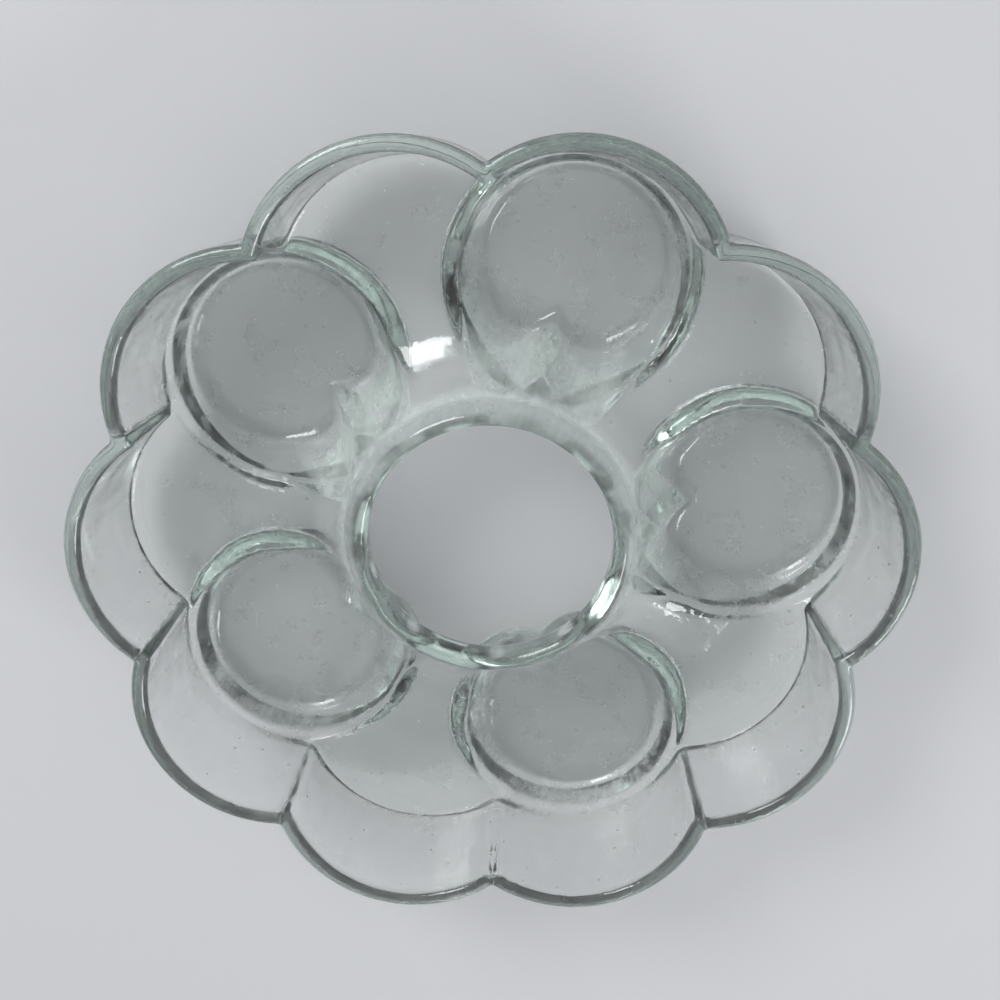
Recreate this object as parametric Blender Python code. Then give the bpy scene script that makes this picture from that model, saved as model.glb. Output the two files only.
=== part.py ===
# Votive candle ring of clear pressed glass.
#
# The ring is one piece of glass. Ten rounded petals make its rim. Every second
# petal holds a deep round well for a candle, and the petals between them have a
# flat floor that climbs to a raised lip round the open centre. Under the glass the
# five wells stand out as round feet, and the ring rests on them.
#
# Sizes are in metres, +Z is up, and the origin is under the centre, at the level
# that the feet stand on. The first well lies along +X.

import math

import bmesh
import bpy

MM = 0.001

# Petals and wall
PETALS = 10
RIM_RADIUS = 99.4 * MM
PETAL_DEPTH = 9.4 * MM
RING_HEIGHT = 46.0 * MM
WALL_THICKNESS = 4.0 * MM
OUTER_LEAN = math.radians(8.5)
INNER_LEAN = math.radians(9.6)
CREASE_LEAN = math.radians(5.2)
RIM_ROUND = 1.6 * MM
FLOOR_CORNER_ROUND = 1.6 * MM
FOOT_EDGE_ROUND = 3.0 * MM

# Floor between the wells, and the lip round the open centre
PETAL_FLOOR_HEIGHT = 16.3 * MM
SHEET_THICKNESS = 6.0 * MM
CENTRE_HOLE_RADIUS = 29.0 * MM
SLOPE_WIDTH = 39.4 * MM
SLOPE_RISE = 7.0 * MM
LIP_DROP = 7.4 * MM
LIP_ROUND = 2.2 * MM
LIP_POWER = 5

# Wells, each with a cleft between two toes at the side of the open centre
WELL_FLOOR_THICKNESS = 6.0 * MM
WELL_FLOOR_RADIUS = 22.3 * MM
WELL_MOUTH_RADIUS = 27.9 * MM
WELL_TO_WALL = 2.3 * MM
TOE_LENGTH = 8.5 * MM
TOE_POWER = 2.6
TOE_HOLLOW = 1.0
FLOOR_CLEFT_DEPTH = 8.3 * MM
FLOOR_CLEFT_WIDTH = math.radians(13.4)
MOUTH_CLEFT_DEPTH = 12.8 * MM
MOUTH_CLEFT_WIDTH = math.radians(13.0)
CUP_WALL = 6.2 * MM
FOOT_LEAN = math.radians(8.0)

# Distances that keep the shapes' faces from lying on each other
CUP_INSET = 1.5 * MM
CUP_TO_HOLE = 0.5 * MM
WALL_BITE = 0.25 * MM
MOUTH_OVERCUT = 0.8 * MM
OVERCUT = 3.0 * MM

# How finely round shapes are divided. The steps of a petal are odd, so that a face, not
# an edge, crosses the plane of each cleft.
STEPS_PER_PETAL = 9
SLOPE_STEPS = 9
SLOPE_CROWDING = 1.8
LIP_STEPS = 5
EDGE_STEPS = 2
WELL_HALF_STEPS = 22
CLEFT_CROWDING = 1.35
WELL_RINGS = 4
SEARCH_STEPS = 40
SHARP_EDGE = math.radians(35)

GLASS_COLOUR = (0.82, 0.90, 0.86, 1.0)
GLASS_ROUGHNESS = 0.04

# What follows from the sizes
HALF_PETAL = math.pi / PETALS
WELLS = PETALS // 2
LIP_HEIGHT = RING_HEIGHT - LIP_DROP
FLAT_FLOOR_RADIUS = CENTRE_HOLE_RADIUS + SLOPE_WIDTH
UNDERSIDE_HEIGHT = PETAL_FLOOR_HEIGHT - SHEET_THICKNESS
UP = math.pi / 2
DOWN = -math.pi / 2
OUT = 0.0
IN = math.pi


def petal_arc(peak, valley):
    """Centre distance and radius of the arc of a petal, from its peak and its valley."""
    centre = (peak**2 - valley**2) / (2 * (peak - valley * math.cos(HALF_PETAL)))
    return centre, peak - centre


def petal_radius(angle, peak, valley):
    """Distance of the petalled outline from the axis, in one direction."""
    centre, radius = petal_arc(peak, valley)
    off_axis = (angle + HALF_PETAL) % (2 * HALF_PETAL) - HALF_PETAL
    across = centre * math.sin(off_axis)
    return centre * math.cos(off_axis) + math.sqrt(radius**2 - across**2)


def outer_petal(height):
    """Peak and valley of the wall's outer face at a height."""
    lean_in = (RING_HEIGHT - height) * math.tan(OUTER_LEAN)
    peak = RIM_RADIUS - lean_in
    return peak, peak - PETAL_DEPTH


def inner_petal(height):
    """Peak and valley of the wall's inner face, whose valleys are sharp creases."""
    centre, radius = petal_arc(RIM_RADIUS, RIM_RADIUS - PETAL_DEPTH)
    inside = radius - WALL_THICKNESS
    across = centre * math.sin(HALF_PETAL)
    crease = centre * math.cos(HALF_PETAL) + math.sqrt(inside**2 - across**2)
    drop = RING_HEIGHT - height
    peak = RIM_RADIUS - WALL_THICKNESS - drop * math.tan(INNER_LEAN)
    return peak, crease - drop * math.tan(CREASE_LEAN)


def petal_station(petal, height, grow=0.0):
    """One ring of a swept solid: a petalled outline, made larger or smaller, at a height."""
    peak, valley = petal
    return peak + grow, valley + grow, height


def round_station(radius, height):
    """One round ring of a swept solid."""
    return radius, radius, height


def rounded_edge(petal_at, inward, height, radius, first, last):
    """Rings that round an edge of a petalled wall. The rounding's centre lies at a
    height, and inward of the wall's face by a distance, or outward where it is negative."""
    rings = []
    for i in range(EDGE_STEPS + 1):
        turn = first + (last - first) * i / EDGE_STEPS
        level = height + radius * math.sin(turn)
        rings.append(petal_station(petal_at(level), level, radius * math.cos(turn) - inward))
    return rings


def slope_tangent(share):
    """How steeply the floor climbs at a share of the way from its flat part to the lip."""
    run = SLOPE_WIDTH - 2 * LIP_ROUND
    lip_rise = LIP_HEIGHT - PETAL_FLOOR_HEIGHT - SLOPE_RISE
    return (SLOPE_RISE + lip_rise * LIP_POWER * share ** (LIP_POWER - 1)) / run


def slope_start():
    """Radius and height at which the lip's round edge turns into the slope."""
    steepness = math.atan(slope_tangent(1.0))
    radius = CENTRE_HOLE_RADIUS + LIP_ROUND + LIP_ROUND * math.sin(steepness)
    height = LIP_HEIGHT - LIP_ROUND + LIP_ROUND * math.cos(steepness)
    return radius, height


def slope_share(radius):
    """How far up the slope a radius lies: 0 on the flat floor, 1 at the lip."""
    start_radius, _ = slope_start()
    share = (FLAT_FLOOR_RADIUS - radius) / (FLAT_FLOOR_RADIUS - start_radius)
    return min(max(share, 0.0), 1.0)


def sheet_height(radius):
    """Height of the floor between the wells: flat outside, then a gentle slope that
    turns up into the lip."""
    _, start_height = slope_start()
    share = slope_share(radius)
    lip_rise = start_height - PETAL_FLOOR_HEIGHT - SLOPE_RISE
    return PETAL_FLOOR_HEIGHT + SLOPE_RISE * share + lip_rise * share**LIP_POWER


def slope_radii():
    """Radii along the slope, from the lip's round edge out to the flat floor. They lie
    closest together at the lip, where the slope bends most."""
    start_radius, _ = slope_start()
    span = FLAT_FLOOR_RADIUS - start_radius
    shares = [(i / SLOPE_STEPS) ** SLOPE_CROWDING for i in range(SLOPE_STEPS + 1)]
    return [start_radius + span * share for share in shares]


def underside_point(radius):
    """The point of the glass's underside straight through the sheet from a radius."""
    steepness = math.atan(slope_tangent(slope_share(radius)))
    under_radius = radius - SHEET_THICKNESS * math.sin(steepness)
    under_height = sheet_height(radius) - SHEET_THICKNESS * math.cos(steepness)
    return under_radius, under_height


def hole_wall_foot():
    """Height at which the wall of the centre hole meets the underside of the sheet."""
    low, high = slope_radii()[0], FLAT_FLOOR_RADIUS
    for _ in range(SEARCH_STEPS):
        middle = (low + high) / 2
        if underside_point(middle)[0] < CENTRE_HOLE_RADIUS:
            low = middle
        else:
            high = middle
    return underside_point(high)[1]


def well_centre():
    """Distance of a well's centre from the ring's axis."""
    wall, _ = inner_petal(WELL_FLOOR_THICKNESS)
    return wall - WELL_TO_WALL - WELL_FLOOR_RADIUS


def cleft(turn, depth, width):
    """How far the cleft, a sharp fold at the side of the centre, reaches into a well.
    A turn of 0 points away from the ring's axis and half a turn points at the cleft."""
    return depth * math.exp(-(math.pi - abs(turn)) / width)


def floor_reach(turn):
    """Distance from a well's centre to the edge of its floor."""
    return WELL_FLOOR_RADIUS - cleft(turn, FLOOR_CLEFT_DEPTH, FLOOR_CLEFT_WIDTH)


def toe_share(turn):
    """How much a direction belongs to the toes: 1 towards the centre, 0 away from it."""
    return max(-math.cos(turn), 0.0) ** TOE_POWER


def mouth_reach(turn):
    """Distance from a well's centre to the edge of its mouth, which runs out into two
    toes beside the cleft."""
    toe = TOE_LENGTH * toe_share(turn)
    return WELL_MOUTH_RADIUS + toe - cleft(turn, MOUTH_CLEFT_DEPTH, MOUTH_CLEFT_WIDTH)


def mouth_height(turn):
    """Height at which a well's wall comes out of the floor between the wells."""
    x = well_centre() + mouth_reach(turn) * math.cos(turn)
    y = mouth_reach(turn) * math.sin(turn)
    return sheet_height(math.hypot(x, y)) + MOUTH_OVERCUT


def wall_reach(turn, height):
    """Distance from a well's centre to its wall, which runs from the edge of the floor
    to the edge of the mouth: straight at the sides, and hollow like a spoon in the toes."""
    share = (height - WELL_FLOOR_THICKNESS) / (mouth_height(turn) - WELL_FLOOR_THICKNESS)
    if 0.0 < share < 1.0:
        share += TOE_HOLLOW * toe_share(turn) * share * (1.0 - share)
    return floor_reach(turn) + (mouth_reach(turn) - floor_reach(turn)) * share


def reach_to_petal(turn, petal, grow):
    """Distance from a well's centre to the petal's arc, which the well can't pass."""
    centre, radius = petal_arc(petal[0] + grow, petal[1] + grow)
    shift = well_centre() - centre
    along = shift * math.cos(turn)
    return math.sqrt(along**2 - shift**2 + radius**2) - along


def reach_to_hole(turn):
    """Distance from a well's centre to the glass round the centre hole, which a cup can't
    pass. A direction that misses the hole reaches as far as the hole's side."""
    radius = CENTRE_HOLE_RADIUS + CUP_TO_HOLE
    across = well_centre() * math.sin(turn)
    towards = -well_centre() * math.cos(turn)
    if towards < 0 or abs(across) > radius:
        return well_centre()
    return towards - math.sqrt(radius**2 - across**2)


def well_reach(turn, height):
    """Distance to the wall of a well, which keeps inside the ring's own wall."""
    limit = reach_to_petal(turn, inner_petal(height), WALL_BITE)
    return min(wall_reach(turn, height), limit)


def cup_reach(turn, height, shrink=0.0):
    """Distance to the outside of a well's cup. Inside the sheet it follows the well's
    wall, below it the foot leans in a little, and it keeps inside the ring's outer face
    and clear of the centre hole."""
    limit = min(reach_to_petal(turn, outer_petal(height), -CUP_INSET), reach_to_hole(turn))
    lean_in = max(UNDERSIDE_HEIGHT - height, 0.0) * math.tan(FOOT_LEAN)
    plain = wall_reach(turn, max(height, UNDERSIDE_HEIGHT)) + CUP_WALL - lean_in
    return min(plain, limit) - shrink


def ring_of_points(mesh, item):
    """The vertices of one ring of a swept solid, counted from a valley."""
    peak, valley, height = item
    steps = PETALS * STEPS_PER_PETAL
    points = []
    for i in range(steps):
        angle = HALF_PETAL + 2 * math.pi * i / steps
        radius = petal_radius(angle, peak, valley)
        spot = (radius * math.cos(angle), radius * math.sin(angle), height)
        points.append(mesh.verts.new(spot))
    return points


def join_rings(mesh, lower, upper):
    """Faces between two rings of as many vertices."""
    count = len(lower)
    for i in range(count):
        j = (i + 1) % count
        mesh.faces.new((lower[i], lower[j], upper[j], upper[i]))


def close_ring(mesh, ring, centre):
    """A fan of faces from a ring to a point inside it."""
    hub = mesh.verts.new(centre)
    count = len(ring)
    for i in range(count):
        mesh.faces.new((ring[i], ring[(i + 1) % count], hub))


def finish(name, mesh):
    """Turn the faces outwards and make the mesh an object of the scene."""
    bmesh.ops.recalc_face_normals(mesh, faces=mesh.faces)
    data = bpy.data.meshes.new(name)
    mesh.to_mesh(data)
    mesh.free()
    data.shade_smooth()
    data.set_sharp_from_angle(angle=SHARP_EDGE)
    item = bpy.data.objects.new(name, data)
    bpy.context.scene.collection.objects.link(item)
    return item


def swept_ring(name, stations):
    """A closed solid, swept round the axis through its stations and back to the first."""
    mesh = bmesh.new()
    rings = [ring_of_points(mesh, item) for item in stations]
    for lower, upper in zip(rings, rings[1:] + rings[:1]):
        join_rings(mesh, lower, upper)
    return finish(name, mesh)


def turns():
    """The directions round a well, from its cleft all the way round to it. They lie
    closest together at the cleft."""
    steps = range(WELL_HALF_STEPS + 1)
    away = [math.pi * (i / WELL_HALF_STEPS) ** CLEFT_CROWDING for i in steps]
    return [angle - math.pi for angle in away] + [math.pi - angle for angle in away[-2:0:-1]]


def place_at_well(well, turn, reach, height):
    """A point at a reach from the centre of one of the wells."""
    angle = 2 * math.pi * well / WELLS
    x = well_centre() + reach * math.cos(turn)
    y = reach * math.sin(turn)
    east = x * math.cos(angle) - y * math.sin(angle)
    north = x * math.sin(angle) + y * math.cos(angle)
    return east, north, height


def well_solids(name, rings_of_well, bottom, top):
    """Five closed solids round the ring. Each ring of a solid gives, for every turn,
    its reach from the well's centre and its height."""
    mesh = bmesh.new()
    for well in range(WELLS):
        rings = []
        for ring in rings_of_well:
            spots = [place_at_well(well, turn, *ring(turn)) for turn in turns()]
            rings.append([mesh.verts.new(spot) for spot in spots])
        for lower, upper in zip(rings, rings[1:]):
            join_rings(mesh, lower, upper)
        close_ring(mesh, rings[0], place_at_well(well, 0, 0, bottom))
        close_ring(mesh, rings[-1], place_at_well(well, 0, 0, top))
    return finish(name, mesh)


def lip_rings():
    """Rings that round the lip, from the slope's upper end over and down into the hole."""
    first = UP - math.atan(slope_tangent(1.0))
    rings = []
    for i in range(1, LIP_STEPS + 1):
        turn = first + (IN - first) * i / LIP_STEPS
        radius = CENTRE_HOLE_RADIUS + LIP_ROUND + LIP_ROUND * math.cos(turn)
        height = LIP_HEIGHT - LIP_ROUND + LIP_ROUND * math.sin(turn)
        rings.append(round_station(radius, height))
    return rings


def make_bowl():
    """The petalled ring without its wells, swept round the axis: the underside, the outer
    wall, the rim, the inner face of the wall, the flat floor, the slope and the lip."""
    underside = [underside_point(radius) for radius in slope_radii()]
    underside = [point for point in underside if point[0] > CENTRE_HOLE_RADIUS]
    outer_foot = UNDERSIDE_HEIGHT + FOOT_EDGE_ROUND
    inner_foot = PETAL_FLOOR_HEIGHT + FLOOR_CORNER_ROUND
    wall_top = RING_HEIGHT - RIM_ROUND
    stations = [round_station(CENTRE_HOLE_RADIUS, hole_wall_foot())]
    stations += [round_station(*point) for point in underside]
    stations += rounded_edge(outer_petal, FOOT_EDGE_ROUND, outer_foot, FOOT_EDGE_ROUND, DOWN, OUT)
    stations += rounded_edge(outer_petal, RIM_ROUND, wall_top, RIM_ROUND, OUT, UP)
    stations += rounded_edge(inner_petal, -RIM_ROUND, wall_top, RIM_ROUND, UP, IN)
    stations += rounded_edge(
        inner_petal, FLOOR_CORNER_ROUND, inner_foot, FLOOR_CORNER_ROUND, OUT, DOWN)
    slope = [round_station(radius, sheet_height(radius)) for radius in slope_radii()]
    stations += slope[::-1]
    stations += lip_rings()
    return swept_ring("glass_ring", stations)


def make_wells():
    """The five wells, each a round cup with a cleft at the side of the centre hole."""
    above = RING_HEIGHT + OVERCUT

    def ring_at(share):
        def ring(turn):
            height = WELL_FLOOR_THICKNESS + share * (mouth_height(turn) - WELL_FLOOR_THICKNESS)
            return well_reach(turn, height), height
        return ring

    def top_ring(turn):
        return well_reach(turn, mouth_height(turn)), above

    rings = [ring_at(i / WELL_RINGS) for i in range(WELL_RINGS + 1)]
    rings.append(top_ring)
    return as_helper(well_solids("wells", rings, WELL_FLOOR_THICKNESS, above))


def make_cups():
    """The outsides of the five wells, which stand below the sheet as feet and end inside
    its glass."""
    edge = FOOT_EDGE_ROUND

    def ring_at(height, shrink=0.0):
        return lambda turn: (cup_reach(turn, height, shrink), height)

    def top_ring(turn):
        height = mouth_height(turn) - MOUTH_OVERCUT - SHEET_THICKNESS / 2
        return cup_reach(turn, height), height

    rings = []
    for i in range(EDGE_STEPS + 1):
        turn = DOWN + (OUT - DOWN) * i / EDGE_STEPS
        rings.append(ring_at(edge + edge * math.sin(turn), edge - edge * math.cos(turn)))
    rings.append(ring_at(UNDERSIDE_HEIGHT))
    rings.append(top_ring)
    middle = PETAL_FLOOR_HEIGHT - SHEET_THICKNESS / 2
    return as_helper(well_solids("cups", rings, 0.0, middle))


def as_helper(item):
    """Keep a shape that only cuts or fills another one out of the model."""
    item.hide_render = True
    item.display_type = "WIRE"
    return item


def combine(item, operation, other):
    """Join another shape to this one, or cut it out."""
    modifier = item.modifiers.new(other.name, "BOOLEAN")
    modifier.operation = operation
    modifier.solver = "EXACT"
    modifier.object = other


def glass_material():
    """Clear pressed glass with a pale green tint."""
    material = bpy.data.materials.new("pressed_glass")
    material.use_nodes = True
    shader = material.node_tree.nodes["Principled BSDF"]
    shader.inputs["Base Color"].default_value = GLASS_COLOUR
    shader.inputs["Roughness"].default_value = GLASS_ROUGHNESS
    shader.inputs["Metallic"].default_value = 0.0
    shader.inputs["Transmission Weight"].default_value = 1.0
    return material


def main():
    for item in list(bpy.data.objects):
        bpy.data.objects.remove(item, do_unlink=True)
    ring = make_bowl()
    combine(ring, "UNION", make_cups())
    combine(ring, "DIFFERENCE", make_wells())
    ring.data.materials.append(glass_material())


main()
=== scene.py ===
# %% [markdown]
# # A votive candle ring of clear pressed glass
#
# The object is one thick piece of glass, pressed in an iron mould while it was soft.
# Ten petals make its rim, five deep wells take a candle each, and the five petals
# between them have a shallow floor that climbs to a raised lip round an open centre.
# This script dresses the imported model: it makes a melted, rounded glass body in the
# place of the plain one, gives it glass, real but for a painted sheen on its walls and a
# painted highlight on its toes, and sets a camera, a floor and lamps.

# %% The imported model
import math
import bmesh
import bpy
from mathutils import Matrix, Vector


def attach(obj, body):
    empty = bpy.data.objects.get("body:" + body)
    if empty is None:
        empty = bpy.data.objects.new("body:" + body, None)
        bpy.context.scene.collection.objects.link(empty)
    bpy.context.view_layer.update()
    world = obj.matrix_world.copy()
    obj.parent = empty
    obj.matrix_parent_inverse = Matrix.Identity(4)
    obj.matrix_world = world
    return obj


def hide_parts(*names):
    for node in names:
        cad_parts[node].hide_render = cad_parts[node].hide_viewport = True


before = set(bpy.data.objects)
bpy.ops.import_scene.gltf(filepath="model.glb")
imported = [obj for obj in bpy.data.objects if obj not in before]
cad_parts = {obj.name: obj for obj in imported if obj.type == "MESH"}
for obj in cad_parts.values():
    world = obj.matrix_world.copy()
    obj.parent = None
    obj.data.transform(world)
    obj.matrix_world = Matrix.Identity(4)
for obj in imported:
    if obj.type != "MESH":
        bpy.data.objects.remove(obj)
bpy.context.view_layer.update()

MM = 0.001

# %% [markdown]
# ## The camera
#
# The photograph looks down on the ring from about 69 degrees above its rim, with a
# standard lens from some 370 mm away. The place and turn below come from fitting the
# ten notches of the rim and the edge of the open centre to the photograph.

# %% Camera
CAMERA_PLACE = (14.51 * MM, 138.08 * MM, 371.25 * MM)
CAMERA_TURN = (math.radians(-20.824), math.radians(1.900), math.radians(-0.4625))
CAMERA_LENS = 55.31
SENSOR_WIDTH = 36.0
CLIP_START = 10 * MM

bpy.ops.object.camera_add(location=CAMERA_PLACE, rotation=CAMERA_TURN)
camera = bpy.context.object
camera.name = "photo_camera"
camera.data.lens = CAMERA_LENS
camera.data.sensor_width = SENSOR_WIDTH
camera.data.clip_start = CLIP_START
bpy.context.scene.camera = camera
print("camera", camera.name, "lens", CAMERA_LENS)

# %% [markdown]
# ## Helpers for modelling
#
# An operator acts on everything that is selected, and the loaded model is selected, so
# each step starts by deselecting all. Every mould tool below is a closed solid. Joining
# and cutting is done by the Boolean modifier, which is applied at once. Its manifold
# solver keeps closed solids closed, and only a mesh of overlapping shells needs the exact
# one.


# %% Helpers
def select_only(piece):
    """Make one object the selected and the active one."""
    if bpy.context.object and bpy.context.object.mode != "OBJECT":
        bpy.ops.object.mode_set(mode="OBJECT")
    bpy.ops.object.select_all(action="DESELECT")
    piece.select_set(True)
    bpy.context.view_layer.objects.active = piece


def named(name):
    """Name the object that an operator has just made, and put its place in its mesh."""
    piece = bpy.context.object
    piece.name = name
    piece.data.name = name
    bpy.ops.object.transform_apply(location=True, rotation=True, scale=True)
    return piece


def select_vertices(piece, wanted):
    """In edit mode, select the vertices for which a test of their place holds."""
    mesh = bmesh.from_edit_mesh(piece.data)
    for vertex in mesh.verts:
        vertex.select = wanted(vertex.co)
    mesh.select_flush_mode()
    bmesh.update_edit_mesh(piece.data)


def combine(piece, operation, other, overlapping=False):
    """Join another solid to a piece, or cut it out, and delete it."""
    select_only(piece)
    modifier = piece.modifiers.new(operation.lower(), "BOOLEAN")
    modifier.operation = operation
    modifier.solver = "EXACT" if overlapping else "MANIFOLD"
    modifier.use_self = overlapping
    modifier.object = other
    bpy.ops.object.modifier_apply(modifier=modifier.name)
    bpy.data.objects.remove(other)
    print(operation.lower(), piece.name, len(piece.data.polygons), "faces")
    return piece


# %% [markdown]
# ## Petals
#
# The mould was turned from ten overlapping cones, set round a circle. Each cone leans
# out with the wall's draft, so that the glass could be lifted from the mould. A cone
# starts as a circle, which is extruded upwards and resized level by level, and the spin
# operator copies it round the axis. A drum fills the middle. The glass between a large
# flower of cones and a small one is the wall. The top levels of both flowers bend
# towards each other, which gives the rim its round, fire-polished edges. Each foot and
# rim below is a cone's distance from the axis and its radius at that height.

# %% Petal flowers
PETALS = 10
CONE_SIDES = 120
RIM_HEIGHT = 46.0 * MM
RIM_ROUND = 1.7 * MM
RIM_STEPS = 5
UNDERSIDE = 10.3 * MM
FLOOR = 16.3 * MM
OUTER_FOOT = (62.02 * MM, 32.04 * MM)
OUTER_RIM = (64.48 * MM, 34.80 * MM)
INNER_FOOT = (57.66 * MM, 32.72 * MM)
INNER_RIM = (64.48 * MM, 30.92 * MM)
OUTER_DRUM = 78 * MM
INNER_DRUM = 76 * MM
BOWL_BOTTOM = 12 * MM
BOWL_TOP = 52 * MM


def cone_level(height, foot_height, foot, rim, grow=0.0):
    """One level of a leaning cone: its height, its centre's distance and its radius."""
    share = (height - foot_height) / (RIM_HEIGHT - foot_height)
    centre, radius = [low + (high - low) * share for low, high in zip(foot, rim)]
    return height, centre, radius + grow


def rim_levels(foot_height, foot, rim, bend):
    """The levels that round an edge of the rim, outwards or inwards."""
    levels = []
    for i in range(RIM_STEPS + 1):
        turn = math.pi / 2 * i / RIM_STEPS
        height = RIM_HEIGHT - RIM_ROUND + RIM_ROUND * math.sin(turn)
        grow = bend * (RIM_ROUND - RIM_ROUND * math.cos(turn))
        levels.append(cone_level(height, foot_height, foot, rim, grow))
    return levels


def column(name, levels):
    """A closed solid extruded from a circle through levels that stand over each other.
    The circle is turned by half a side, so that no edge lies in the plane of a fold."""
    bpy.ops.object.select_all(action="DESELECT")
    height, centre, radius = levels[0]
    bpy.ops.mesh.primitive_circle_add(
        vertices=CONE_SIDES, radius=radius, fill_type="NGON", location=(centre, 0, height),
        rotation=(0, 0, math.pi / CONE_SIDES))
    piece = named(name)
    bpy.ops.object.mode_set(mode="EDIT")
    bpy.ops.mesh.select_all(action="SELECT")
    for level in levels[1:]:
        step = (level[1] - centre, 0, level[0] - height)
        bpy.ops.mesh.extrude_region_move(TRANSFORM_OT_translate={"value": step})
        size = level[2] / radius
        height, centre, radius = level
        bpy.ops.transform.resize(value=(size, size, 1), center_override=(centre, 0, height))
    bpy.ops.mesh.select_all(action="SELECT")
    bpy.ops.mesh.normals_make_consistent(inside=False)
    bpy.ops.object.mode_set(mode="OBJECT")
    return piece


def copy_round(piece, count):
    """Copy a mesh round the upright axis, into one mesh of so many shells."""
    select_only(piece)
    bpy.ops.object.mode_set(mode="EDIT")
    bpy.ops.mesh.select_all(action="SELECT")
    bpy.ops.mesh.spin(steps=count - 1, dupli=True, angle=2 * math.pi * (count - 1) / count,
                      center=(0, 0, 0), axis=(0, 0, 1))
    bpy.ops.object.mode_set(mode="OBJECT")
    return piece


def flower(name, levels, drum_radius):
    """Ten cones round a drum, as one solid."""
    petals = copy_round(column(name + "_petals", levels), PETALS)
    drum = column(name, [(levels[0][0], 0, drum_radius), (levels[-1][0], 0, drum_radius)])
    return combine(drum, "UNION", petals, overlapping=True)


outer_levels = [cone_level(UNDERSIDE, UNDERSIDE, OUTER_FOOT, OUTER_RIM)]
outer_levels += rim_levels(UNDERSIDE, OUTER_FOOT, OUTER_RIM, -1)
outside = flower("glass", outer_levels, OUTER_DRUM)

inner_levels = [cone_level(BOWL_BOTTOM, FLOOR, INNER_FOOT, INNER_RIM)]
inner_levels += rim_levels(FLOOR, INNER_FOOT, INNER_RIM, 1)
inner_levels.append((BOWL_TOP, *inner_levels[-1][1:]))
inside = flower("bowl", inner_levels, INNER_DRUM)

# %% [markdown]
# ## The floor and the lip
#
# Between the wells the glass is a sheet 6 mm thick. It lies flat below the petals,
# climbs gently towards the centre and turns up into a lip round the hole. Such a round
# form is drawn as half of its section and spun round the axis, as on a potter's wheel.
# One section shapes the sheet's top and one its underside, 6 mm below it.

# %% Sections of the floor
HOLE_RADIUS = 29.0 * MM
SLOPE_FOOT = 68.4 * MM
SHEET = 6.0 * MM
LIP_HEIGHT = 38.6 * MM
LIP_ROUND = 2.2 * MM
SLOPE_RISE = 7.0 * MM
LIP_POWER = 5
SPIN_STEPS = 180
SPIN_OFFSET = math.radians(0.7)
SLOPE_STEPS = 24
LIP_STEPS = 8
BEYOND_RIM = 110 * MM
CUT_BOTTOM = 5 * MM
BELOW_FEET = -5 * MM
UNDER_MARGIN = 8 * MM
MERGE_DISTANCE = 0.001 * MM

slope_run = SLOPE_FOOT - HOLE_RADIUS - 2 * LIP_ROUND
lip_rise = LIP_HEIGHT - FLOOR - SLOPE_RISE


def steepness(share):
    """Angle of the slope at a share of the way from the flat floor to the lip."""
    return math.atan((SLOPE_RISE + lip_rise * LIP_POWER * share ** (LIP_POWER - 1)) / slope_run)


lip_turn = math.pi / 2 - steepness(1.0)
lip_middle = (HOLE_RADIUS + LIP_ROUND, LIP_HEIGHT - LIP_ROUND)
slope_top = (lip_middle[0] + LIP_ROUND * math.cos(lip_turn),
             lip_middle[1] + LIP_ROUND * math.sin(lip_turn))


def slope_point(share, below=0.0):
    """A point of the slope, or of the surface that lies a distance straight below it."""
    radius = SLOPE_FOOT + (slope_top[0] - SLOPE_FOOT) * share
    rise = SLOPE_RISE * share + (slope_top[1] - FLOOR - SLOPE_RISE) * share**LIP_POWER
    lean = steepness(share)
    return radius - below * math.sin(lean), FLOOR + rise - below * math.cos(lean)


def spun(name, section):
    """A solid spun from a closed section, given as distances from the axis and heights."""
    mesh = bpy.data.meshes.new(name)
    count = len(section)
    edges = [(i, (i + 1) % count) for i in range(count)]
    mesh.from_pydata([(radius, 0, height) for radius, height in section], edges, [])
    piece = bpy.data.objects.new(name, mesh)
    bpy.context.collection.objects.link(piece)
    select_only(piece)
    bpy.ops.object.mode_set(mode="EDIT")
    bpy.ops.mesh.select_all(action="SELECT")
    bpy.ops.mesh.spin(steps=SPIN_STEPS, angle=2 * math.pi, center=(0, 0, 0), axis=(0, 0, 1))
    bpy.ops.mesh.select_all(action="SELECT")
    bpy.ops.transform.rotate(value=SPIN_OFFSET, orient_axis="Z", center_override=(0, 0, 0))
    bpy.ops.mesh.remove_doubles(threshold=MERGE_DISTANCE)
    bpy.ops.mesh.normals_make_consistent(inside=False)
    bpy.ops.object.mode_set(mode="OBJECT")
    return piece


shares = [i / SLOPE_STEPS for i in range(SLOPE_STEPS + 1)]
lip = []
for i in range(1, LIP_STEPS + 1):
    turn = lip_turn + (math.pi - lip_turn) * i / LIP_STEPS
    lip.append((lip_middle[0] + LIP_ROUND * math.cos(turn),
                lip_middle[1] + LIP_ROUND * math.sin(turn)))
top_section = [(BEYOND_RIM, CUT_BOTTOM), (BEYOND_RIM, FLOOR)]
top_section += [slope_point(share) for share in shares] + lip
top_section.append((HOLE_RADIUS, CUT_BOTTOM))
sheet_top = spun("sheet_top", top_section)

under_section = [slope_point(share, SHEET) for share in shares]
foot_radius, foot_height = under_section[0]
under_radius = foot_radius + UNDER_MARGIN
under_fall = UNDER_MARGIN * SLOPE_RISE / slope_run
under_section.insert(0, (under_radius, foot_height - under_fall))
under_section.insert(0, (under_radius, BELOW_FEET))
under_section += [(0, under_section[-1][1]), (0, BELOW_FEET)]
sheet_under = spun("sheet_under", under_section)
print("slope from", [round(v / MM, 1) for v in slope_point(0)], "to",
      [round(v / MM, 1) for v in slope_top])
combine(inside, "DIFFERENCE", sheet_top)
combine(outside, "DIFFERENCE", sheet_under)

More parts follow.
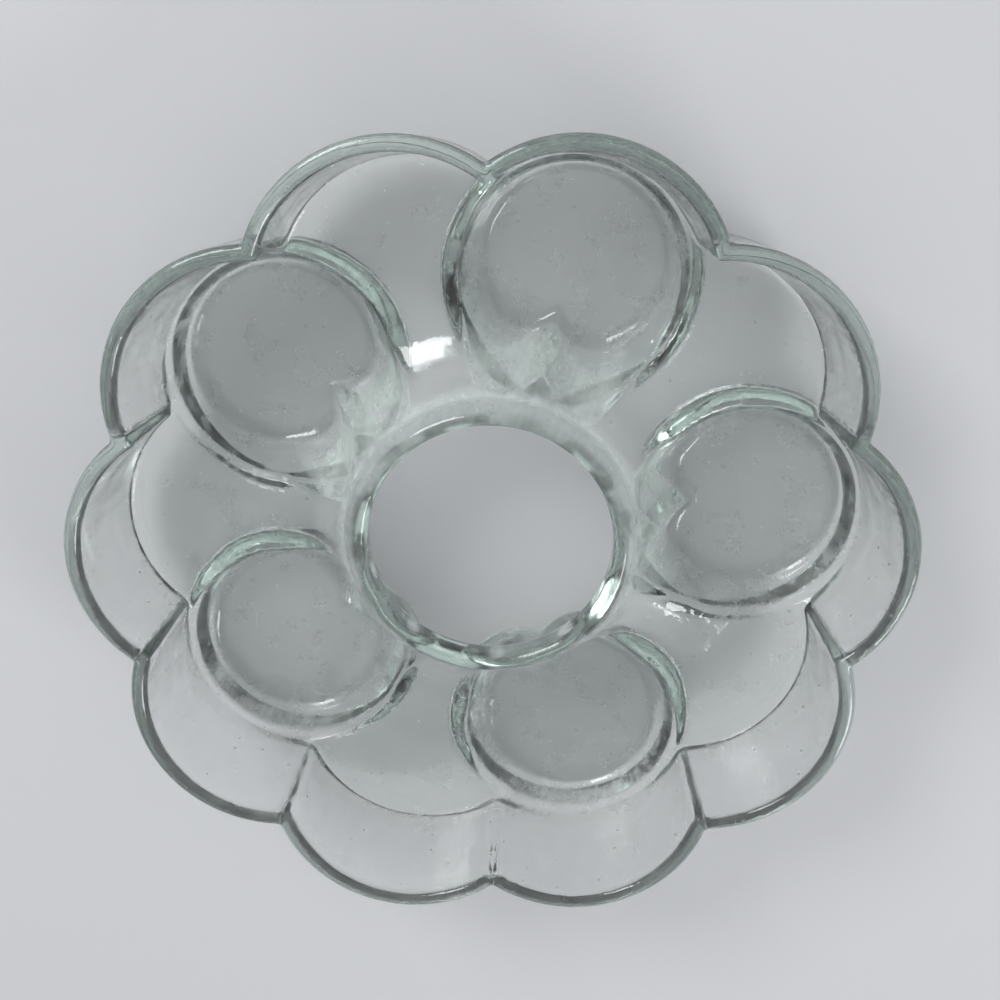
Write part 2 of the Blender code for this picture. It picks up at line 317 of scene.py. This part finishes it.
# %% [markdown]
# ## Wells and feet
#
# Each well is round, but towards the centre it has two toes with a sharp fold between
# them. The plunger that pressed it is one rounded solid and its mirror image, each the
# convex hull of the outer arc of the well, the full circle of one toe and a small circle
# beside the fold, at several heights. Where the two hulls meet, they leave the fold. The
# outside of the cup, which stands below the sheet as a foot, is the same form, 6.2 mm
# larger. A toe below is its centre's two coordinates and its radius, at the floor of the
# well and at the mouth.

# %% Plungers and cups
WELLS = 5
WELL_CENTRE = 64.03 * MM
WELL_FLOOR = 6.0 * MM
WELL_MOUTH = 17.1 * MM
FLOOR_RADIUS = 22.3 * MM
MOUTH_GROWTH = 5.6 * MM
TOE_MOUTH = 34.0 * MM
FOLD_MOUTH = 25.0 * MM
HULL_SIDES = 96
CUP_WALL = 6.2 * MM
CUP_DRAFT = math.radians(8)
CUP_TO_PETAL = 1.5 * MM
WELL_PAST_PETAL = 0.25 * MM
LIMIT_HEIGHTS = (-4 * MM, 56 * MM)
FLOOR_ROUND = 2.0 * MM
FOOT_ROUND = 6.0 * MM
FOOT_STEPS = 6
PLUNGER_LEVELS = (WELL_FLOOR, 6.2 * MM, 6.7 * MM, 8 * MM, 10 * MM, 13 * MM, WELL_MOUTH,
                  21 * MM, FOLD_MOUTH, 29 * MM, TOE_MOUTH, 42 * MM)
CUP_LEVELS = (UNDERSIDE, 13 * MM, WELL_MOUTH, 21 * MM, FOLD_MOUTH, TOE_MOUTH, 40 * MM)
HALF_OVERLAP = 1.0 * MM
ARC_END = 51.0 * MM
TOE_LOW = (54.5 * MM, 8.0 * MM, 9.0 * MM)
TOE_HIGH = (44.4 * MM, 11.6 * MM, 10.6 * MM)
FOLD_LOW = 50.9 * MM
FOLD_HIGH = 41.0 * MM
FOLD_ROUND = 0.5 * MM


def half_plunger(name, circles):
    """The convex hull of the outer arcs of the well's circles and of all the others.
    A circle is its centre's two coordinates, its radius and its height."""
    bpy.ops.object.select_all(action="DESELECT")
    bpy.ops.mesh.primitive_circle_add(vertices=3, radius=MM)
    piece = named(name)
    bpy.ops.object.mode_set(mode="EDIT")
    bpy.ops.mesh.delete(type="VERT")
    for across, along, radius, height in [c for c in circles if c[1] == 0]:
        bpy.ops.mesh.primitive_circle_add(
            vertices=HULL_SIDES, radius=radius, location=(across, along, height),
            rotation=(0, 0, math.pi / HULL_SIDES))
    select_vertices(piece, lambda place: place.y < -HALF_OVERLAP or place.x < ARC_END)
    bpy.ops.mesh.delete(type="VERT")
    for across, along, radius, height in [c for c in circles if c[1] != 0]:
        bpy.ops.mesh.primitive_circle_add(
            vertices=HULL_SIDES, radius=radius, location=(across, along, height))
    bpy.ops.mesh.select_all(action="SELECT")
    bpy.ops.mesh.convex_hull()
    bpy.ops.mesh.select_all(action="SELECT")
    bpy.ops.mesh.normals_make_consistent(inside=False)
    bpy.ops.object.mode_set(mode="OBJECT")
    return piece


def mirrored(piece):
    """A copy of a piece on the other side of the plane through the axis."""
    select_only(piece)
    bpy.ops.object.duplicate()
    twin = bpy.context.object
    bpy.ops.transform.mirror(constraint_axis=(False, True, False))
    bpy.ops.object.transform_apply(location=True, rotation=True, scale=True)
    bpy.ops.object.mode_set(mode="EDIT")
    bpy.ops.mesh.select_all(action="SELECT")
    bpy.ops.mesh.normals_make_consistent(inside=False)
    bpy.ops.object.mode_set(mode="OBJECT")
    return twin


def climbed(height, mouth):
    """Share of the way from a well's floor up to a height where its wall ends."""
    return min((height - WELL_FLOOR) / (mouth - WELL_FLOOR), 1.0)


def toe_at(height):
    """Centre and radius of a toe's circle at a height. A toe is hollow like a spoon."""
    share = 1 - (1 - climbed(height, TOE_MOUTH)) ** 2
    return [low + (high - low) * share for low, high in zip(TOE_LOW, TOE_HIGH)]


def well_radius(height):
    """Radius of the round part of a well at a height."""
    return FLOOR_RADIUS + MOUTH_GROWTH * climbed(height, WELL_MOUTH)


def corner_inset(height):
    """How far the rounded corner of a well's floor draws its wall in at a height."""
    share = min((height - WELL_FLOOR) / FLOOR_ROUND, 1.0)
    return FLOOR_ROUND * (1 - math.sqrt(1 - (1 - share) ** 2))


def well_circles(height, grow, at=None):
    """The circles of the well, of one toe and of the fold beside it at a height, made
    larger by a distance, or smaller where it is below zero."""
    at = height if at is None else at
    across, along, radius = toe_at(at)
    fold = FOLD_LOW + (FOLD_HIGH - FOLD_LOW) * climbed(at, FOLD_MOUTH)
    return [(WELL_CENTRE, 0, well_radius(at) + grow, height),
            (across, along, radius + grow, height),
            (fold - min(grow, 0), FOLD_ROUND / 2, FOLD_ROUND + max(grow, 0) / 2, height)]


def five_of(name, circles, foot_height, foot, rim, grow):
    """Five wells or cups round the axis, each kept inside a petal's cone."""
    half = half_plunger(name, circles)
    whole = combine(half, "UNION", mirrored(half))
    ends = [cone_level(height, foot_height, foot, rim, grow) for height in LIMIT_HEIGHTS]
    limit = column("limit", ends)
    combine(whole, "INTERSECT", limit)
    return copy_round(whole, WELLS)


plunger = []
for height in PLUNGER_LEVELS:
    plunger += well_circles(height, -corner_inset(height))
wells = five_of("wells", plunger, FLOOR, INNER_FOOT, INNER_RIM, WELL_PAST_PETAL)

cup = []
lean = math.tan(CUP_DRAFT)
for i in range(FOOT_STEPS + 1):
    turn = math.pi / 2 * i / FOOT_STEPS
    height = FOOT_ROUND - FOOT_ROUND * math.cos(turn)
    inset = FOOT_ROUND - FOOT_ROUND * math.sin(turn) + (UNDERSIDE - height) * lean
    cup += well_circles(height, CUP_WALL - inset, at=UNDERSIDE)
for height in CUP_LEVELS:
    cup += well_circles(height, CUP_WALL)
cups = five_of("cups", cup, UNDERSIDE, OUTER_FOOT, OUTER_RIM, -CUP_TO_PETAL)

# %% [markdown]
# ## The pressed body
#
# The cups join the petalled body, and the bowl and the wells are cut out, in the order
# in which the mould and the plunger shape the soft glass.

# %% Joining and cutting
combine(outside, "UNION", cups)
combine(outside, "DIFFERENCE", inside)
combine(outside, "DIFFERENCE", wells)

# %% [markdown]
# ## Melting the edges
#
# Hot glass never fills a sharp corner, and fire polishing rounds every edge that is
# left. A voxel remesh turns the body into one even skin, and a few rounds of smoothing
# let the corners flow. The body is turned a little meanwhile, so that no crease lies
# along the rows of voxels. Smoothing shrinks a form a little, so every round is followed
# by one that pushes back, and only the steps of the voxels go. Then the faces that flat
# places don't need are collapsed.

# %% Remesh and smooth
VOXEL = 0.7 * MM
GRID_TURN = math.radians(9)
FACES_KEPT = 190_000
EVEN_ROUNDS = 5
SMOOTH_BY = 0.6
PUSH_BACK_BY = -0.62
LAST_SMOOTH_BY = 0.5
LAST_ROUNDS = 4


def smoothed(piece, factor, rounds):
    """Smooth a piece, or with a negative factor push it back."""
    smooth = piece.modifiers.new("polish", "SMOOTH")
    smooth.factor = factor
    smooth.iterations = rounds
    bpy.ops.object.modifier_apply(modifier=smooth.name)


def turned(piece, angle):
    """Turn a piece about the axis and write the turn into its mesh."""
    select_only(piece)
    bpy.ops.transform.rotate(value=angle, orient_axis="Z", center_override=(0, 0, 0))
    bpy.ops.object.transform_apply(location=True, rotation=True, scale=True)


turned(outside, GRID_TURN)
remesh = outside.modifiers.new("melt", "REMESH")
remesh.mode = "VOXEL"
remesh.voxel_size = VOXEL
remesh.use_smooth_shade = True
bpy.ops.object.modifier_apply(modifier=remesh.name)
for i in range(EVEN_ROUNDS):
    smoothed(outside, SMOOTH_BY, 1)
    smoothed(outside, PUSH_BACK_BY, 1)
smoothed(outside, LAST_SMOOTH_BY, LAST_ROUNDS)
thin_out = outside.modifiers.new("thin_out", "DECIMATE")
thin_out.ratio = FACES_KEPT / (2 * len(outside.data.polygons))
bpy.ops.object.modifier_apply(modifier=thin_out.name)
turned(outside, -GRID_TURN)
bpy.ops.object.shade_smooth()
ring = outside
ring.name = "pressed_glass_ring"
print("ring", len(ring.data.polygons), "faces")

# %% [markdown]
# ## Pressed soda-lime glass
#
# Household pressed glass is soda-lime glass. Traces of iron in its sand give thick
# parts a pale sea-green tint. The tint is absorption inside the glass, so thin parts
# stay clear.


# %% Glass
TINT = "#C2EBDA"
TINT_DENSITY = 10.0
GLASS_IOR = 1.52
POLISHED_ROUGHNESS = 0.02


def linear(code):
    """The linear colour of an sRGB hex code."""
    parts = [int(code[i:i + 2], 16) / 255 for i in (1, 3, 5)]
    parts = [p / 12.92 if p <= 0.04045 else ((p + 0.055) / 1.055) ** 2.4 for p in parts]
    return (*parts, 1.0)


def new_material(name):
    """A material with an empty node tree and its output."""
    material = bpy.data.materials.new(name)
    material.use_nodes = True
    tree = material.node_tree
    tree.nodes.clear()
    return material, tree


def add_node(tree, kind, links=None, **settings):
    """Add a node, set its settings and sockets, and link its inputs."""
    node = tree.nodes.new("ShaderNode" + kind)
    for key, value in settings.items():
        if hasattr(node, key):
            setattr(node, key, value)
        else:
            node.inputs[key.replace("_", " ")].default_value = value
    for key, source in (links or {}).items():
        tree.links.new(source, node.inputs[key])
    return node


def pattern(tree, place, size, stretch=(1, 1, 1), turn=(0, 0, 0), detail=3.0):
    """Noise between 0 and 1 whose features are about a size across."""
    laid = add_node(tree, "Mapping", {"Vector": place}, Rotation=turn, Scale=stretch)
    noise = add_node(tree, "TexNoise", {"Vector": laid.outputs[0]},
                     Scale=1 / size, Detail=detail, Roughness=0.6)
    return noise.outputs["Fac"]


def between(tree, value, low, high, to_low=0.0, to_high=1.0):
    """A value stretched from one range to another and held inside it."""
    node = add_node(tree, "MapRange", {"Value": value}, From_Min=low, From_Max=high,
                    To_Min=to_low, To_Max=to_high)
    return node.outputs[0]


def maths(tree, operation, first, second=0.0):
    """Two values, or a value and a number, joined by an operation."""
    node = add_node(tree, "Math", operation=operation)
    for socket, value in zip(node.inputs, (first, second)):
        if isinstance(value, (int, float)):
            socket.default_value = value
        else:
            tree.links.new(value, socket)
    return node.outputs[0]


glass, tree = new_material("pressed_soda_lime_glass")
place = add_node(tree, "TexCoord").outputs["Object"]
depth = add_node(tree, "VolumeAbsorption", Color=linear(TINT), Density=TINT_DENSITY)
print("glass", glass.name)

# %% [markdown]
# ## Ripples from the mould
#
# Glass that touches a cooler iron mould freezes in faint ripples. They run down the
# steep walls as streaks and lie on the floors as soft waves.

# %% Ripples
WAVE_SIZE = 14 * MM
STREAK_SIZE = 4 * MM
STREAK_STRETCH = (1, 1, 0.12)
STREAK_SHARE = 0.35
RIPPLE_DEPTH = 0.25 * MM

waves = pattern(tree, place, WAVE_SIZE, detail=1.0)
streaks = pattern(tree, place, STREAK_SIZE, stretch=STREAK_STRETCH, detail=2.0)
relief = maths(tree, "ADD", waves, maths(tree, "MULTIPLY", streaks, STREAK_SHARE))
ripples = add_node(tree, "Bump", {"Height": relief}, Strength=1.0, Distance=RIPPLE_DEPTH)
print("ripples up to", RIPPLE_DEPTH / MM, "mm")

# %% [markdown]
# ## Chilled walls, with painted sheen and highlights
#
# The steep walls of the petals and the wells slide along the iron as the plunger comes
# out, and chill before the fire polish reaches them. They look faintly milky, in upright
# streaks, as the glass is rougher there, and a thin white layer in the same streaks is
# painted sheen, which stands in for the light these walls reflect. The two toes of each
# well catch the most light, and a paler white painted on them is a painted highlight that
# stands in for that. The floors and the rims are bright and clear. Each pair below is where
# a mask starts and where it is full, and two more numbers are its least and its greatest
# strength.

# %% Milky walls, painted sheen and the toes' painted highlight
STEEP = (0.93, 0.70)
MILK_HEIGHTS = (42 * MM, 36 * MM)
MILK_CLOUD = (0.35, 0.65, 0.5, 1.0)
SLOPE_FALL = 1.5
SLOPE_TOP = (86.5 * MM, 88.0 * MM)
SLOPE_REACH = (60 * MM, 50 * MM)
# The next seven numbers place and size a painted highlight on the toes, which stands in for the
# light that they catch.
TOE_STEEP = (0.58, 0.50)
TOE_SKYWARD = (0.02, 0.10)
TOE_HEIGHTS = (34.6 * MM, 33.4 * MM)
TOE_REACH = (52 * MM, 40 * MM)
TOE_HIGHLIGHT_STREAKS = (0.30, 0.70, 0.6, 1.0)
TOE_HIGHLIGHT_TINT = "#EEF7F3"
TOE_HIGHLIGHT_SHARE = 0.34
# Painted sheen on the steep walls: a thin white layer that stands in for reflected light.
WALL_PAINTED_SHEEN = 0.06

facing = add_node(tree, "NewGeometry").outputs["Normal"]
skyward = add_node(tree, "SeparateXYZ", {"Vector": facing}).outputs["Z"]
upright = maths(tree, "ABSOLUTE", skyward)
level = add_node(tree, "SeparateXYZ", {"Vector": place}).outputs["Z"]
steep = maths(tree, "MULTIPLY", between(tree, upright, *STEEP),
              between(tree, level, *MILK_HEIGHTS))
flattened = add_node(tree, "Mapping", {"Vector": place}, Scale=(1, 1, 0))
from_axis = add_node(tree, "VectorMath", {"Vector": flattened.outputs[0]},
                     operation="LENGTH").outputs["Value"]
below_slope = maths(tree, "ADD", level, maths(tree, "MULTIPLY", from_axis, SLOPE_FALL))
on_slope = maths(tree, "MULTIPLY", between(tree, below_slope, *SLOPE_TOP),
                 between(tree, from_axis, *SLOPE_REACH))
steep = maths(tree, "MULTIPLY", steep, maths(tree, "SUBTRACT", 1.0, on_slope))
cloud = between(tree, streaks, *MILK_CLOUD)
# The milky streaks make the walls rougher, and carry the painted sheen on them.
milk_and_painted_sheen = maths(tree, "MULTIPLY", steep, cloud)
# The painted highlight on the toes: steep, slightly skyward faces near the mouth, in streaks.
toe_painted_highlight = between(tree, upright, *TOE_STEEP)
for mask in (between(tree, skyward, *TOE_SKYWARD), between(tree, from_axis, *TOE_REACH),
             between(tree, level, *TOE_HEIGHTS), between(tree, below_slope, *SLOPE_TOP[::-1]),
             between(tree, streaks, *TOE_HIGHLIGHT_STREAKS)):
    toe_painted_highlight = maths(tree, "MULTIPLY", toe_painted_highlight, mask)
# Base colour: white, turned to the painted highlight's tint on the toes.
body = add_node(tree, "MixRGB", {"Fac": toe_painted_highlight}, Color1=linear("#FFFFFF"),
                Color2=linear(TOE_HIGHLIGHT_TINT))
# The share of white, not clear, glass: a painted highlight on the toes and painted sheen on the
# walls.
painted_light_share = maths(tree, "ADD", maths(tree, "MULTIPLY", toe_painted_highlight, TOE_HIGHLIGHT_SHARE),
                  maths(tree, "MULTIPLY", milk_and_painted_sheen, WALL_PAINTED_SHEEN))
clear = maths(tree, "SUBTRACT", 1.0, painted_light_share)
print("milky walls up to", MILK_HEIGHTS[0] / MM, "mm")

# %% [markdown]
# ## Use and wear
#
# The ring has been used and wiped. Fingers and a cloth leave broad smudges. Wax and hard
# water leave a cloudy film on the low floors. Sliding leaves fine scratches, and dust
# leaves specks. All of them scatter light at the surface, so each is a rougher place. The
# ranges below are read like those of the milky walls.

# %% Wear
SMUDGE_SIZE = 22 * MM
SMUDGES = (0.50, 0.66, 0.0, 0.10)
FILM_SIZE = 9 * MM
FILM_HEIGHTS = (22 * MM, 7 * MM)
FILM = (0.52, 0.66, 0.0, 0.40)
SCRATCH_WIDTH = 0.5 * MM
SCRATCH_STRETCH = (1, 0.016, 0.2)
SCRATCH_TURN = (0, 0, 1.1)
SCRATCHES = (0.74, 0.78, 0.0, 0.35)
SPECK_SPACING = 5 * MM
SPECKS = (0.10, 0.05, 0.0, 0.5)
MILK_ROUGHNESS = 0.16

low_down = between(tree, level, *FILM_HEIGHTS)
smudges = between(tree, pattern(tree, place, SMUDGE_SIZE), *SMUDGES)
film = between(tree, pattern(tree, place, FILM_SIZE, detail=8.0), *FILM)
film = maths(tree, "MULTIPLY", film, low_down)
scratches = pattern(tree, place, SCRATCH_WIDTH, stretch=SCRATCH_STRETCH, turn=SCRATCH_TURN)
scratches = between(tree, scratches, *SCRATCHES)
cells = add_node(tree, "TexVoronoi", {"Vector": place}, Scale=1 / SPECK_SPACING)
specks = between(tree, cells.outputs["Distance"], *SPECKS)
wear = maths(tree, "ADD", maths(tree, "ADD", smudges, film),
             maths(tree, "ADD", scratches, specks))
finish = maths(tree, "ADD", maths(tree, "MULTIPLY", milk_and_painted_sheen, MILK_ROUGHNESS),
               POLISHED_ROUGHNESS)
roughness = maths(tree, "ADD", wear, finish)
# Base colour and transmission carry the painted highlight and the painted sheen; roughness and
# bumps are the glass's own.
shader = add_node(tree, "BsdfPrincipled",
                  {"Base Color": body.outputs[0], "Roughness": roughness,
                   "Normal": ripples.outputs[0], "Transmission Weight": clear},
                  IOR=GLASS_IOR)
add_node(tree, "OutputMaterial", {"Surface": shader.outputs[0], "Volume": depth.outputs[0]})
ring.data.materials.clear()
ring.data.materials.append(glass)
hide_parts("glass_ring")
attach(ring, "root")
print("material", glass.name, "with", len(tree.nodes), "nodes")

# %% [markdown]
# ## Floor and light
#
# A plain pale floor, and the even light of a studio: a bright ceiling, a grey band of
# wall below it, a bright horizon, and two soft boxes. Glass shows its form by what it
# bends into view, so the grey band draws its edges and the ceiling fills its hollows.
# The floor lies a hair below the feet, for the air that stays under real glass.

# %% Floor and lamps
FLOOR_SIZE = 6.0
AIR_GAP = 0.05 * MM
HORIZON = (0.10, "#E4E6E8")
BAND = (0.35, "#8C8E91")
CEILING = (0.75, "#F2F4F6")
FLOOR_TINT = "#BEBFC1"

bpy.ops.object.select_all(action="DESELECT")
bpy.ops.mesh.primitive_plane_add(size=FLOOR_SIZE, location=(0, 0, -AIR_GAP))
floor = named("studio_floor")
paint, tree = new_material("matt_pale_grey_paint")
shader = add_node(tree, "BsdfPrincipled", Base_Color=linear(FLOOR_TINT), Roughness=0.6)
add_node(tree, "OutputMaterial", {"Surface": shader.outputs[0]})
floor.data.materials.append(paint)

world = bpy.data.worlds.new("studio_surround")
bpy.context.scene.world = world
world.use_nodes = True
tree = world.node_tree
tree.nodes.clear()
direction = add_node(tree, "TexCoord")
split = add_node(tree, "SeparateXYZ", {"Vector": direction.outputs["Generated"]})
ceiling = add_node(tree, "ValToRGB", {"Fac": split.outputs["Z"]})
ramp = ceiling.color_ramp
for element, (position, colour) in zip(ramp.elements, (HORIZON, CEILING)):
    element.position = position
    element.color = linear(colour)
middle = ramp.elements.new(BAND[0])
middle.color = linear(BAND[1])
surround = add_node(tree, "Background", {"Color": ceiling.outputs["Color"]}, Strength=1.0)
add_node(tree, "OutputWorld", {"Surface": surround.outputs[0]})


def soft_box(name, place, size, power):
    """A square lamp at a place, facing the ring."""
    bpy.ops.object.light_add(type="AREA", location=place)
    lamp = bpy.context.object
    lamp.name = name
    lamp.data.size = size
    lamp.data.energy = power
    lamp.rotation_euler = (-Vector(place)).to_track_quat("-Z", "Y").to_euler()
    print("lamp", lamp.name, power, "W")


soft_box("soft_box_near", (-0.55, 0.75, 0.85), size=0.45, power=7)
soft_box("soft_box_far", (0.75, -0.65, 0.75), size=0.35, power=4)

bpy.context.scene.view_settings.view_transform = "Standard"
